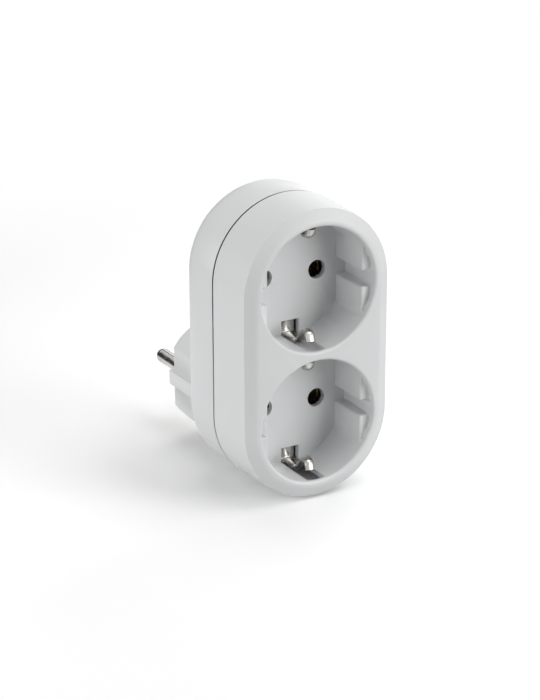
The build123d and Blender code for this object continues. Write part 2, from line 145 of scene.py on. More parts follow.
def metres(name, description, default):
    """A length that a user may change."""
    return FloatProperty(name=name, description=description, default=default, min=0.0, precision=5, unit="LENGTH")


def colour(name, description, default):
    """A colour that a user may change."""
    return FloatVectorProperty(
        name=name, description=description, default=default, size=3, min=0.0, max=1.0, subtype="COLOR"
    )


class AdapterSizes(bpy.types.PropertyGroup):
    """Sizes of the finish and of the pieces that are remade here."""

    moulded_edge: metres("Moulded edge", "Rounding of the housings' edges", 0.00015)
    stamped_edge: metres("Stamped edge", "Rounding of the edges of strip metal", 0.00012)
    seam: metres("Seam", "Width of the shadow gap round the seam", 0.0006)
    # Height at which the painted shadow in the seam's gap is darkest, and how far from there it fades
    seam_shadow_height: metres("Seam open", "Height at which the seam is darkest", 0.049)
    seam_shadow_fade: FloatVectorProperty(
        name="Seam fade", description="How far from there it fades", size=2, default=(0.011, 0.035), unit="LENGTH"
    )
    body_edge: metres("Body edge", "Rounding of the solid's front edge", 0.0035)
    body_draft: FloatProperty(
        name="Body draft", description="Slope of the front housing's sides", default=math.radians(1.6), unit="ROTATION"
    )
    side_slope: FloatProperty(
        name="Side slope", description="Slope of the finished sides", default=math.radians(2.4), unit="ROTATION"
    )
    front_depth: metres("Front depth", "Depth of the front housing from the seam to its face", 0.0201)
    rim_depth: metres("Rim depth", "Depth of the crisp edge round the face", 0.0017)
    rim_width: metres("Rim width", "Width of the sloping rim inside that edge", 0.0035)
    rim_blend: metres("Rim blend", "Half the length over which the rim runs into the face", 0.00075)
    tongue: metres("Tongue", "Height of the tongue inside the seam", 0.002)
    strip: metres("Strip thickness", "Thickness of the earth strips", 0.0008)
    clip_width: metres("Clip width", "Width of an earth clip behind the floor of its well", 0.0054)
    arm_width: metres("Arm width", "Width of the sprung arms inside a well", 0.004)
    shoulder: metres("Shoulder", "Length over which a clip narrows to its arm", 0.0008)
    arm_run: metres("Arm run", "Length of an arm along the wall before it rises", 0.0055)
    floor: metres("Floor", "Thickness of a well's floor", 0.002)
    crest_depth: metres("Crest depth", "Depth of an arm's crest below the front face, before it is rounded", 0.0066)
    crest_rise: metres("Crest rise", "Height of an arm's crest above its run, before it is rounded", 0.0068)
    tip_depth: metres("Tip depth", "Depth of an arm's tip below the front face", 0.0048)
    tip_rise: metres("Tip rise", "Height of an arm's tip above its run", 0.0016)
    nose_width: metres("Nose width", "Width of an arm from its crest to its tip", 0.0031)
    clip_crown: metres("Clip crown", "Height to which a clip is bowed across its width", 0.0005)
    tight_bend: metres("Tight bend", "Inner radius of a right-angled bend", 0.0008)
    crest_bend: metres("Crest bend", "Radius of the bends of an arm", 0.0022)
    earth_bar_width: metres("Earth bar width", "Width of the earth bar", 0.005)
    earth_tab: metres("Earth tab", "Height of the earth bar's tab inside the plug", 0.008)
    rivet_shank: metres("Rivet shank", "Radius of a rivet's shank", 0.001)
    rivet_head: metres("Rivet head", "Height of a rivet's head", 0.0005)
    contact_grip: metres("Contact grip", "Thickness of a contact and its bar together", 0.0014)
    screw_shank: metres("Screw shank", "Radius of a screw over its thread", 0.0015)
    screw_head: metres("Screw head", "Height of a screw's head", 0.002)
    thread_pitch: metres("Thread pitch", "Distance from one thread crest to the next", 0.001)
    thread_depth: metres("Thread depth", "Depth of the thread", 0.0003)
    drive_length: metres("Drive length", "Length of the cross recess in a screw", 0.0034)
    drive_width: metres("Drive width", "Width of the cross recess in a screw", 0.0009)
    drive_depth: metres("Drive depth", "Depth of the cross recess in a screw", 0.0011)
    turned_facets: IntProperty(name="Turned facets", description="Facets round a turned piece", default=48, min=12)


class AdapterFinish(bpy.types.PropertyGroup):
    """Colours of the finishes."""

    plastic: colour("Plastic", "White moulded plastic", (0.794, 0.80, 0.804))
    plastic_shade: colour("Plastic shade", "Slight mottling of the plastic", (0.779, 0.786, 0.791))
    # Painted shadow: the near-black colour given to the plastic down in the seam's gap
    painted_seam_shadow: colour("Seam shade", "Plastic down in the gap of the seam", (0.02, 0.02, 0.02))
    nickel: colour("Nickel", "Polished nickel plating", (0.60, 0.585, 0.56))
    nickel_warm: colour("Warm nickel", "Thin plating that lets the brass show", (0.47, 0.42, 0.34))
    spring: colour("Spring", "Nickel-plated spring strip of the clips", (0.60, 0.592, 0.578))
    spring_worn: colour("Worn spring", "Spring strip where plugs have rubbed it", (0.36, 0.345, 0.32))
    brass: colour("Brass", "Stamped brass strip", (0.32, 0.23, 0.11))
    brass_dull: colour("Dull brass", "Tarnish on the brass", (0.10, 0.065, 0.035))
    zinc: colour("Zinc", "Zinc plating of the screws", (0.62, 0.63, 0.65))
    zinc_dark: colour("Dark zinc", "Darker grains of the zinc", (0.42, 0.43, 0.45))
    card: colour("Card", "Dark card of the stage", (0.02, 0.02, 0.02))
    card_shade: colour("Card shade", "Darker grain of the card", (0.012, 0.012, 0.012))


class AdapterStage(bpy.types.PropertyGroup):
    """Camera, light and floor."""

    target: FloatVectorProperty(
        name="Target", description="Point that the camera looks at", default=(-0.00887, -0.0583, 0.02415), unit="LENGTH"
    )
    azimuth: FloatProperty(
        name="Azimuth", description="Camera's turn round the adapter", default=math.radians(-30.19), unit="ROTATION"
    )
    elevation: FloatProperty(
        name="Elevation", description="Camera's height above the horizon", default=math.radians(20.82), unit="ROTATION"
    )
    distance: metres("Distance", "Distance from the camera to its target", 0.682)
    focal_pixels: FloatProperty(name="Focal length", description="Focal length in pixels", default=2235.7)
    centre_pixels: FloatVectorProperty(
        name="View centre", description="Pixel on the camera's axis", size=2, default=(277.5, 356.7)
    )
    ambient: FloatProperty(name="Ambient", description="Strength of the even light", default=0.05)
    lamp_power: FloatProperty(name="Lamp power", description="Power of a full lamp", default=1.0, unit="POWER")
    lamp_size: metres("Lamp size", "Side of a square lamp", 0.3)
    lamp_distance: metres("Lamp distance", "Distance from the lamps to the adapter", 0.5)
    flag_width: metres("Flag width", "Width of the dark card", 1.6)
    flag_depth: FloatVectorProperty(
        name="Flag depth",
        description="Where the dark card starts and stands up",
        size=2,
        default=(0.15, 0.9),
        unit="LENGTH",
    )
    flag_height: metres("Flag height", "Height of the dark card", 0.55)
    floor_gain: FloatProperty(name="Floor gain", description="Brightness of the floor as it is seen", default=1.25)
    floor_lift: FloatProperty(name="Floor lift", description="Brightness of the floor's deepest shadow", default=0.01)
    floor_tone: FloatProperty(name="Floor tone", description="Share of light that the floor gives back", default=0.55)
    floor_fade: FloatVectorProperty(
        name="Floor fade", description="Where the floor turns to white", size=2, default=(0.12, 0.3), unit="LENGTH"
    )
    floor_radius: metres("Floor radius", "Radius of the round floor", 3.0)


def sizes():
    """The sizes as they are set."""
    return bpy.context.scene.adapter_sizes


def finish():
    """The colours as they are set."""
    return bpy.context.scene.adapter_finish


def stage():
    """The stage as it is set."""
    return bpy.context.scene.adapter_stage


# Materials


class Shader:
    """A material under construction, with its Principled shader and short ways to add nodes."""

    # Places of the colours among the sockets of a mix node
    MIX_INPUTS = (6, 7)
    MIX_OUTPUT = 2

    def __init__(self, name, metallic=0.0):
        self.material = bpy.data.materials.new(name)
        self.material.use_nodes = True
        self.tree = self.material.node_tree
        self.surface = self.tree.nodes["Principled BSDF"]
        self.surface.inputs["Metallic"].default_value = metallic
        self.place = self.tree.nodes.new("ShaderNodeTexCoord").outputs["Object"]

    def node(self, kind, **settings):
        """A node with its settings."""
        made = self.tree.nodes.new(kind)
        for key, value in settings.items():
            setattr(made, key, value)
        return made

    def link(self, output, target):
        """Join an output to an input."""
        self.tree.links.new(output, target)

    def noise(self, scale, detail=2.0, stretch=(1, 1, 1), roughness=0.5):
        """Noise on the object's own coordinates; scale counts features to the metre."""
        mapping = self.node("ShaderNodeMapping")
        mapping.inputs["Scale"].default_value = stretch
        self.link(self.place, mapping.inputs["Vector"])
        texture = self.node("ShaderNodeTexNoise")
        texture.inputs["Scale"].default_value = scale
        texture.inputs["Detail"].default_value = detail
        texture.inputs["Roughness"].default_value = roughness
        self.link(mapping.outputs["Vector"], texture.inputs["Vector"])
        return texture.outputs["Fac"]

    def colours(self, factor, first, second, low=0.35, high=0.65):
        """The base colour runs from first to second as the factor goes from low to high."""
        ramp = self.node("ShaderNodeValToRGB")
        for element, position, value in zip(ramp.color_ramp.elements, (low, high), (first, second)):
            element.position = position
            element.color = (*value, 1.0)
        self.link(factor, ramp.inputs["Fac"])
        self.link(ramp.outputs["Color"], self.surface.inputs["Base Color"])

    def math(self, operation, first, *others):
        """The operation on the first value, which is an output, and the others, which may be numbers."""
        made = self.node("ShaderNodeMath", operation=operation)
        self.link(first, made.inputs[0])
        for socket, value in zip(made.inputs[1:], others):
            if isinstance(value, bpy.types.NodeSocket):
                self.link(value, socket)
            else:
                socket.default_value = value
        return made.outputs[0]

    def along(self, axis):
        """The object's own coordinate along an axis."""
        place = self.node("ShaderNodeSeparateXYZ")
        self.link(self.place, place.inputs["Vector"])
        return place.outputs[axis]

    def tint(self, factor, tint):
        """The base colour gives way to the tint as the factor goes to one."""
        mixed = self.node("ShaderNodeMix", data_type="RGBA")
        colour_input = self.surface.inputs["Base Color"]
        first, second = (mixed.inputs[i] for i in self.MIX_INPUTS)
        self.link(factor, mixed.inputs["Factor"])
        self.link(colour_input.links[0].from_socket, first)
        second.default_value = (*tint, 1.0)
        self.link(mixed.outputs[self.MIX_OUTPUT], colour_input)

    def spread(self, factor, from_low, from_high, to_low, to_high):
        """The factor's range mapped smoothly onto another."""
        mapped = self.node("ShaderNodeMapRange", interpolation_type="SMOOTHSTEP")
        for key, value in zip(("From Min", "From Max", "To Min", "To Max"), (from_low, from_high, to_low, to_high)):
            mapped.inputs[key].default_value = value
        self.link(factor, mapped.inputs["Value"])
        return mapped.outputs["Result"]

    def roughness(self, factor, low, high):
        """The roughness runs from low to high over the middle of the factor."""
        self.link(self.spread(factor, *NOISE_MIDDLE, low, high), self.surface.inputs["Roughness"])

    def bump(self, factor, distance, strength=1.0):
        """Fine relief of that depth."""
        relief = self.node("ShaderNodeBump")
        relief.inputs["Distance"].default_value = distance
        relief.inputs["Strength"].default_value = strength
        self.link(factor, relief.inputs["Height"])
        self.link(relief.outputs["Normal"], self.surface.inputs["Normal"])


def made_once(build):
    """A material is built at its first use and found by name after that."""

    def material():
        name = build.__name__
        return bpy.data.materials.get(name) or build(name)

    return material


@made_once
def moulded_plastic(name):
    """White satin plastic with a fine spark-eroded grain, and painted shadow down in the gap of the seam that fades
    above and below.
    """
    shader = Shader(name)
    shader.colours(shader.noise(60, detail=3), finish().plastic_shade, finish().plastic)
    # Painted shadow in the seam's gap: the plastic there turns near black, fully at one height and less above and below
    seam_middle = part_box("rear_housing")[0].y + sizes().tongue - sizes().seam / 2
    in_gap = shader.math("COMPARE", shader.along("Y"), seam_middle, sizes().seam / 2 + SEAM_SLACK)
    from_shadow_height = shader.math("ABSOLUTE", shader.math("SUBTRACT", shader.along("Z"), sizes().seam_shadow_height))
    depth = shader.spread(from_shadow_height, *sizes().seam_shadow_fade, 1.0, SEAM_FAINT)
    shader.tint(shader.math("MULTIPLY", in_gap, depth), finish().painted_seam_shadow)
    shader.roughness(shader.noise(1500), low=0.34, high=0.44)
    shader.bump(shader.noise(5200), distance=0.000004, strength=0.5)
    shader.surface.inputs["IOR"].default_value = 1.47
    return shader.material


@made_once
def polished_nickel(name):
    """Nickel plating over brass, with fine drawing lines."""
    shader = Shader(name, metallic=1.0)
    shader.colours(shader.noise(240, detail=3), finish().nickel_warm, finish().nickel, low=0.36, high=0.52)
    shader.roughness(shader.noise(900, stretch=(4, 1, 1)), low=0.12, high=0.24)
    shader.bump(shader.noise(2600, stretch=(3, 0.4, 0.4)), distance=0.000003, strength=0.4)
    return shader.material


@made_once
def spring_strip(name):
    """Plated spring strip, drawn along its length and rubbed by the plugs."""
    shader = Shader(name, metallic=1.0)
    rubbed = shader.noise(320, detail=4, stretch=(3, 0.4, 0.4))
    shader.colours(rubbed, finish().spring_worn, finish().spring, low=0.38, high=0.6)
    shader.roughness(shader.noise(900, stretch=(4, 0.5, 0.5)), low=0.18, high=0.3)
    shader.bump(shader.noise(2600, stretch=(3, 0.3, 0.3)), distance=0.000004, strength=0.5)
    return shader.material


@made_once
def stamped_brass(name):
    """Rolled brass strip with patches of tarnish."""
    shader = Shader(name, metallic=1.0)
    tarnish = shader.noise(180, detail=5, roughness=0.62)
    shader.colours(tarnish, finish().brass_dull, finish().brass, low=0.34, high=0.5)
    shader.roughness(shader.noise(700, detail=3), low=0.22, high=0.42)
    shader.bump(shader.noise(3200, stretch=(1, 0.25, 1)), distance=0.000003, strength=0.5)
    return shader.material


@made_once
def zinc_plate(name):
    """Zinc plating with a dull grain."""
    shader = Shader(name, metallic=1.0)
    shader.colours(shader.noise(1400, detail=4), finish().zinc_dark, finish().zinc)
    shader.roughness(shader.noise(2100), low=0.28, high=0.45)
    shader.bump(shader.noise(4000, detail=3), distance=0.000004, strength=0.5)
    return shader.material


# Meshes and geometry nodes


def add(name, data):
    """A new object in the scene."""
    made = bpy.data.objects.new(name, data)
    bpy.context.scene.collection.objects.link(made)
    return made


def mesh_of(work, name):
    """The mesh that was worked on, which is then done with."""
    mesh = bpy.data.meshes.new(name)
    work.to_mesh(mesh)
    work.free()
    return mesh


def piece(name, mesh, material, slot, node):
    """A finished mesh that rides on the adapter's body and stands for the CAD node."""
    made = add(name, mesh)
    mesh.materials.clear()
    mesh.materials.append(material)
    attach(made, BODY)
    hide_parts(node)


def shade(mesh):
    """Smooth shading but for sharp edges."""
    mesh.shade_smooth()
    mesh.set_sharp_from_angle(angle=SHARP)


def plain_mesh(source, name):
    """The evaluated mesh of an object with its modifiers, whose source is then taken away."""
    graph = bpy.context.evaluated_depsgraph_get()
    mesh = bpy.data.meshes.new_from_object(source.evaluated_get(graph), depsgraph=graph)
    mesh.name = name
    shade(mesh)
    data = source.data
    bpy.data.objects.remove(source)
    (bpy.data.curves if isinstance(data, bpy.types.Curve) else bpy.data.meshes).remove(data)
    return mesh


def softened(node, edge, material, slot, segments=2, reshape=None):
    """A copy of a CAD node with its outer edges rounded, which stands for the node."""
    name = node + "_finished"
    work = bmesh.new()
    work.from_mesh(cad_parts[node].data)
    bmesh.ops.remove_doubles(work, verts=work.verts, dist=MERGE)
    bmesh.ops.dissolve_limit(work, angle_limit=FLAT, verts=work.verts, edges=work.edges)
    if reshape:
        reshape(work)
    corners = [
        line for line in work.edges
        if line.is_manifold and line.is_convex and line.calc_face_angle() > SHARP
    ]
    bmesh.ops.bevel(
        work, geom=corners, offset=edge, segments=segments, profile=0.5, affect="EDGES", clamp_overlap=False
    )
    source = add(node + "_rough", mesh_of(work, node + "_rough"))
    if reshape:
        # The long faces beside a reshaped rim streak unless large faces count for more
        shade(source.data)
        source.modifiers.new("Even normals", "WEIGHTED_NORMAL").keep_sharp = True
    piece(name, plain_mesh(source, name), material, slot, node)


def rim_profile(side):
    """Turns round the solid's rounded front edge, each with the (radius, depth) that the crisp rim has there."""
    depth, width, blend = sizes().rim_depth, sizes().rim_width, sizes().rim_blend
    slope = math.atan2(depth, width)
    bend = blend / math.tan(slope / 2)
    crease = Vector((side(depth), depth))
    down = Vector((-math.cos(slope), -math.sin(slope)))
    foot = crease + down * (math.hypot(depth, width) - blend)
    steps = len(SOFT_TURNS) - 1
    angles = [slope * i / steps for i in range(steps + 1)]
    soft = [Vector((foot.x - bend * (math.sin(slope) - math.sin(a)), bend * (1 - math.cos(a)))) for a in angles]
    near = 2 * sizes().moulded_edge
    beyond = depth + near
    crisp = [crease + down * near, crease, Vector((side(beyond), beyond))]
    return [(math.radians(turn), point) for turn, point in zip(SOFT_TURNS + EDGE_TURNS, soft + crisp)]


def crisp_rim(work):
    """Turn the rounded front edge into a crisp one, with a sloping rim that runs softly into the face."""
    low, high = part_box("front_housing")
    edge, draft = sizes().body_edge, sizes().body_draft
    outline = high.x
    ends = low.z + outline, high.z - outline

    def side(depth, slope=sizes().side_slope):
        """Half the width of the outline at a depth below the face."""
        return outline - (sizes().front_depth - depth) * math.tan(slope)

    middle = Vector((side(edge, draft) - edge / math.cos(draft), edge))
    last = math.pi / 2 - draft
    side_from = edge - edge * math.cos(last)
    knots = [*rim_profile(side), (last, Vector((side(side_from), side_from)))]

    def place(vertex):
        """The vertex as its foot on the outline's middle line, and its radius and depth from there."""
        foot = Vector((0.0, vertex.co.y, min(max(vertex.co.z, ends[0]), ends[1])))
        return foot, Vector(((vertex.co - foot).length, vertex.co.y - low.y))

    def rounded(vertex):
        """Whether the vertex is on the rounded edge."""
        out = place(vertex)[1] - middle
        return abs(out.length - edge) < ROUND_SLACK and out.x > -ROUND_SLACK and out.y < ROUND_END

    for turn, _ in knots[1:-1]:
        faces = [face for face in work.faces if all(rounded(vertex) for vertex in face.verts)]
        geometry = {item for face in faces for item in (face, *face.edges, *face.verts)}
        level = low.y + middle.y - edge * math.cos(turn)
        bmesh.ops.bisect_plane(
            work, geom=list(geometry), dist=FINE_MERGE, plane_co=(0, level, 0), plane_no=(0, 1, 0)
        )
    for vertex in [vertex for vertex in work.verts if rounded(vertex)]:
        foot, spot = place(vertex)
        out = spot - middle
        turn = min(max(math.atan2(out.x, -out.y), 0.0), last)
        k = max(i for i, knot in enumerate(knots[:-1]) if knot[0] <= turn + TURN_SLACK)
        share = (turn - knots[k][0]) / (knots[k + 1][0] - knots[k][0])
        radius, depth = knots[k][1].lerp(knots[k + 1][1], share)
        away = (vertex.co - foot).normalized()
        vertex.co = Vector((foot.x, low.y + depth, foot.z)) + away * radius


class Tree:
    """A geometry node tree under construction, with named inputs."""

    def __init__(self, name):
        self.group = bpy.data.node_groups.new(name, "GeometryNodeTree")
        self.group.interface.new_socket(name="Geometry", in_out="INPUT", socket_type="NodeSocketGeometry")
        self.group.interface.new_socket(name="Geometry", in_out="OUTPUT", socket_type="NodeSocketGeometry")
        self.start = self.group.nodes.new("NodeGroupInput")
        self.end = self.group.nodes.new("NodeGroupOutput")

    def input(self, name, kind="NodeSocketFloat"):
        """A named input of the tree."""
        self.group.interface.new_socket(name=name, in_out="INPUT", socket_type=kind)
        return self.start.outputs[name]

    def node(self, kind, settings=None, **inputs):
        """A node with its settings; inputs are values or other nodes' outputs, by the socket's name or _number."""
        made = self.group.nodes.new(kind)
        for key, value in (settings or {}).items():
            setattr(made, key, value)
        for key, value in inputs.items():
            socket = made.inputs[int(key[1:])] if key[1:].isdigit() else made.inputs[key.replace("_", " ").strip()]
            if isinstance(value, bpy.types.NodeSocket):
                self.group.links.new(value, socket)
            else:
                socket.default_value = value
        return made

    def math(self, operation, first, second):
        """The operation on two values, which are numbers or outputs."""
        return self.node("ShaderNodeMath", {"operation": operation}, _0=first, _1=second).outputs[0]

    def close(self, geometry):
        """Realize instances, set the material and end the tree."""
        material = self.input("Material", "NodeSocketMaterial")
        realized = self.node("GeometryNodeRealizeInstances", Geometry=geometry).outputs[0]
        painted = self.node("GeometryNodeSetMaterial", Geometry=realized, Material=material).outputs[0]
        self.group.links.new(painted, self.end.inputs[0])


def through(tree_name, source, **values):
    """Put the tree on the source object, with its named inputs set by their identifiers."""
    group = bpy.data.node_groups[tree_name]
    modifier = source.modifiers.new(tree_name, "NODES")
    modifier.node_group = group
    for item in group.interface.items_tree:
        key = item.name.lower().replace(" ", "_")
        if item.item_type == "SOCKET" and item.in_out == "INPUT" and key in values:
            modifier[item.identifier] = values[key]
    return source


def path_object(name, points, radii):
    """A poly curve through the points; each point's radius carries the bend there."""
    curve = bpy.data.curves.new(name, "CURVE")
    curve.dimensions = "3D"
    spline = curve.splines.new("POLY")
    spline.points.add(len(points) - 1)
    for spot, point, radius in zip(spline.points, points, radii):
        spot.co = (*point, 1.0)
        spot.radius = radius
    return add(name, curve)


def bent_strip_tree(name):
    """A strip of metal with rounded edges, bowed across and bent along a path in the upright middle plane."""
    tree = Tree(name)
    thickness = tree.input("Thickness")
    width = tree.input("Width")
    arm = tree.input("Arm width")
    edge = tree.input("Edge radius")
    step = tree.input("Step")
    arm_from = tree.input("Arm from")
    shoulder = tree.input("Shoulder")
    nose = tree.input("Nose width")
    nose_from = tree.input("Nose from")
    nose_at = tree.input("Nose at")
    crown = tree.input("Crown")
    bend = tree.node("GeometryNodeInputRadius").outputs[0]
    bent = tree.node(
        "GeometryNodeFilletCurve",
        {"mode": "POLY"},
        Curve=tree.start.outputs[0], Count=12, Radius=bend, Limit_Radius=True,
    ).outputs[0]
    even = tree.node("GeometryNodeResampleCurve", {"mode": "LENGTH"}, Curve=bent, Length=step).outputs[0]
    thin = tree.node("GeometryNodeSetCurveRadius", Curve=even, Radius=1.0).outputs[0]
    upright = tree.node("GeometryNodeSetCurveNormal", {"mode": "FREE"}, Curve=thin, Normal=(1, 0, 0)).outputs[0]
    section = tree.node("GeometryNodeCurvePrimitiveQuadrilateral", Width=width, Height=thickness).outputs[0]
    soft = tree.node(
        "GeometryNodeFilletCurve", {"mode": "POLY"}, Curve=section, Count=3, Radius=edge, Limit_Radius=True
    ).outputs[0]
    fine = tree.node("GeometryNodeResampleCurve", {"mode": "LENGTH"}, Curve=soft, Length=step).outputs[0]
    place = tree.node("ShaderNodeSeparateXYZ", Vector=tree.node("GeometryNodeInputPosition").outputs[0])
    across = tree.math("DIVIDE", place.outputs["X"], tree.math("MULTIPLY", width, 0.5))
    fall = tree.math("SUBTRACT", 1.0, tree.math("MULTIPLY", across, across))
    lift = tree.node("ShaderNodeCombineXYZ", Y=tree.math("MULTIPLY", crown, fall)).outputs[0]
    bowed = tree.node("GeometryNodeSetPosition", Geometry=fine, Offset=lift).outputs[0]
    swept = tree.node("GeometryNodeCurveToMesh", Curve=upright, Profile_Curve=bowed, Fill_Caps=True).outputs[0]
    narrowed = place.outputs["X"]
    for wide, narrow, start, end in (
        (width, arm, arm_from, tree.math("SUBTRACT", arm_from, shoulder)),
        (arm, nose, nose_from, nose_at),
    ):
        share = tree.node(
            "ShaderNodeMapRange",
            {"interpolation_type": "SMOOTHSTEP"},
            Value=place.outputs["Y"],
            From_Min=end,
            From_Max=start,
            To_Min=tree.math("DIVIDE", narrow, wide),
            To_Max=1.0,
        ).outputs[0]
        narrowed = tree.math("MULTIPLY", narrowed, share)
    moved = tree.node("ShaderNodeCombineXYZ", X=narrowed, Y=place.outputs["Y"], Z=place.outputs["Z"]).outputs[0]
    tree.close(tree.node("GeometryNodeSetPosition", Geometry=swept, Position=moved).outputs[0])


def set_pieces_tree(name):
    """A turned piece set at each point, with a cross recess cut into its head where it has a drive."""
    tree = Tree(name)
    turned = tree.input("Piece", "NodeSocketObject")
    turn = tree.input("Turn", "NodeSocketVector")
    length = tree.input("Drive length")
    width = tree.input("Drive width")
    depth = tree.input("Drive depth")
    top = tree.input("Top")
    whole = tree.node("GeometryNodeObjectInfo", Object=turned).outputs["Geometry"]
    height = tree.math("MULTIPLY", depth, 2.0)
    size = tree.node("ShaderNodeCombineXYZ", X=length, Y=width, Z=height).outputs[0]
    bar = tree.node("GeometryNodeMeshCube", Size=size).outputs[0]
    at_top = tree.node("ShaderNodeCombineXYZ", Z=top).outputs[0]
    cutters = tree.node("GeometryNodeJoinGeometry")
    for angle in (0.0, math.pi / 2):
        laid = tree.node("GeometryNodeTransform", Geometry=bar, Translation=at_top, Rotation=(0, 0, angle)).outputs[0]
        tree.group.links.new(laid, cutters.inputs[0])
    cut = tree.node(
        "GeometryNodeMeshBoolean",
        {"operation": "DIFFERENCE", "solver": "EXACT"},
        Mesh_1=whole,
        Mesh_2=cutters.outputs[0],
        Self_Intersection=True,
    ).outputs[0]
    has_drive = tree.node("FunctionNodeCompare", {"operation": "GREATER_THAN"}, A=depth, B=0.0).outputs[0]
    chosen = tree.node("GeometryNodeSwitch", {"input_type": "GEOMETRY"}, Switch=has_drive, False_=whole, True_=cut)
    turned_round = tree.node("GeometryNodeTransform", Geometry=chosen.outputs[0], Rotation=turn).outputs[0]
    tree.close(
        tree.node("GeometryNodeInstanceOnPoints", Points=tree.start.outputs[0], Instance=turned_round).outputs[0]
    )


def lathe(name, profile):
    """An object with the closed mesh that a profile of (radius, height) spins to round its upright axis."""
    work = bmesh.new()
    rim = [work.verts.new((radius, 0.0, height)) for radius, height in profile]
    edges = [work.edges.new(pair) for pair in zip(rim, rim[1:])]
    bmesh.ops.spin(
        work,
        geom=rim + edges,
        axis=(0, 0, 1),
        cent=(0, 0, 0),
        dvec=(0, 0, 0),
        angle=math.tau,
        steps=sizes().turned_facets,
    )
    bmesh.ops.remove_doubles(work, verts=work.verts, dist=FINE_MERGE)
    bmesh.ops.recalc_face_normals(work, faces=work.faces)
    return add(name, mesh_of(work, name))


def set_pieces(node, profile, places, turn, material, slot, drive=(0.0, 0.0, 0.0), top=0.0):
    """Turned pieces at the places, in place of a CAD node."""
    name = node + "_turned"
    turned = lathe(node + "_pattern", profile)
    spots = bpy.data.meshes.new(node + "_places")
    spots.from_pydata(places, [], [])
    source = through(
        "Set pieces",
        add(node + "_places", spots),
        piece=turned,
        turn=turn,
        drive_length=drive[0],
        drive_width=drive[1],
        drive_depth=drive[2],
        top=top,
        material=material,
    )
    mesh = plain_mesh(source, name)
    pattern = turned.data
    bpy.data.objects.remove(turned)
    bpy.data.meshes.remove(pattern)
    piece(name, mesh, material, slot, node)


def rivet_profile(radius, grip):
    """A rivet with a domed head on both sides of what it grips, round its middle."""
    seat, head = grip / 2, sizes().rivet_head
    angles = [i * math.pi / 2 / DOME_STEPS for i in range(DOME_STEPS)]
    dome = [(radius * math.cos(angle), seat + head * math.sin(angle)) for angle in angles]
    half = [(sizes().rivet_shank, seat), *dome, (0.0, seat + head)]
    return [(r, -h) for r, h in reversed(half)] + half


def screw_profile(radius, length):
    """A pan head above a shank with thread crests and a blunt cone at its tip, measured from the head's seat."""
    top = sizes().screw_head
    crest = sizes().screw_shank
    root = crest - sizes().thread_depth
    pitch = sizes().thread_pitch
    profile = [(out * radius, up * top) for out, up in PAN_HEAD] + [(root, 0.0)]
    for turn in range(int(length / pitch) - 1):
        profile += [(out, -(turn + share) * pitch) for out, share in zip((root, crest, crest, root), THREAD)]
    return profile + [(SCREW_TIP * root, -length), (0.0, -length)]


def offset_path(points, distance):
    """The path moved sideways by the distance, to the left of its run, in the plane of its two numbers."""
    moved = []
    for i, point in enumerate(points):
        here = Vector(point)
        before = (here - Vector(points[i - 1])).normalized() if i else None
        after = (Vector(points[i + 1]) - here).normalized() if i + 1 < len(points) else None
        first, second = before or after, after or before
        normal = Vector((-first.y - second.y, first.x + second.x)).normalized()
        reach = distance / max(MITRE_LIMIT, normal.dot(Vector((-first.y, first.x))))
        moved.append(here + normal * reach)
    return moved


def strip_piece(node, side_path, bends, widths, narrowing, material, slot, crown=0.0):
    """A strip bent along the path of one of its sides, with its thickness on the left, in place of a CAD node.

    Its widths at the back, along its arms and at their noses change at the depths of narrowing.
    """
    path = [(0.0, y, z) for y, z in offset_path(side_path, sizes().strip / 2)]
    name = node + "_bent"
    source = through(
        "Bent strip",
        path_object(node + "_path", path, bends),
        thickness=sizes().strip,
        width=widths[0],
        arm_width=widths[1],
        nose_width=widths[2],
        edge_radius=sizes().stamped_edge,
        step=STRIP_STEP,
        arm_from=narrowing[0],
        shoulder=sizes().shoulder,
        nose_from=narrowing[1],
        nose_at=narrowing[2],
        crown=crown,
        material=material,
    )
    piece(name, plain_mesh(source, name), material, slot, node)


def even_width(width, start):
    """The widths and the narrowing of a strip from that depth, which keeps its width as it narrows far outside."""
    return 3 * [width], (start, start - FAR, start - 2 * FAR)


def clip_path(node):
    """Height of a socket's axis, and half of its earth clip's inner path from the window to the tip.

    The path's points are (depth, distance from that axis).
    """
    low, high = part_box(node)
    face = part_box("front_housing")[0].y
    back = high.y - sizes().strip
    run = (high.z - low.z) / 2 - sizes().strip
    rise_from = back - sizes().floor - sizes().arm_run
    return (low.z + high.z) / 2, [
        (back, run),
        (rise_from, run),
        (face + sizes().crest_depth, run - sizes().crest_rise),
        (face + sizes().tip_depth, run - sizes().tip_rise),
    ]


# Stage


def direction(azimuth, elevation):
    """The unit vector to that side, with azimuth counted to the right from the front."""
    level = math.cos(elevation)
    return Vector((math.sin(azimuth) * level, -math.cos(azimuth) * level, math.sin(elevation)))


def place_camera(scene):
    """The camera, with its axis off the picture's middle by the lens shift."""
    values = stage()
    data = bpy.data.cameras.new("camera")
    camera = add("camera", data)
    out = direction(values.azimuth, values.elevation)
    camera.location = Vector(values.target) + values.distance * out
    camera.rotation_euler = (-out).to_track_quat("-Z", "Y").to_euler()
    width, height = IMAGE_SIZE
    data.lens = data.sensor_width * values.focal_pixels / height
    data.shift_x = (width / 2 - values.centre_pixels[0]) / height
    data.shift_y = (values.centre_pixels[1] - height / 2) / height
    data.clip_start = 0.01
    data.clip_end = 20.0
    scene.camera = camera


def lay_floor():
    """A round pale floor under the adapter."""
    work = bmesh.new()
    bmesh.ops.create_circle(work, cap_ends=True, radius=stage().floor_radius, segments=FLOOR_SIDES)
    bmesh.ops.translate(work, verts=work.verts, vec=(0.0, 0.0, CAD_BOX[0].z - FLOOR_GAP))
    mesh = mesh_of(work, "floor")
    mesh.materials.append(pale_floor())
    add("floor", mesh)


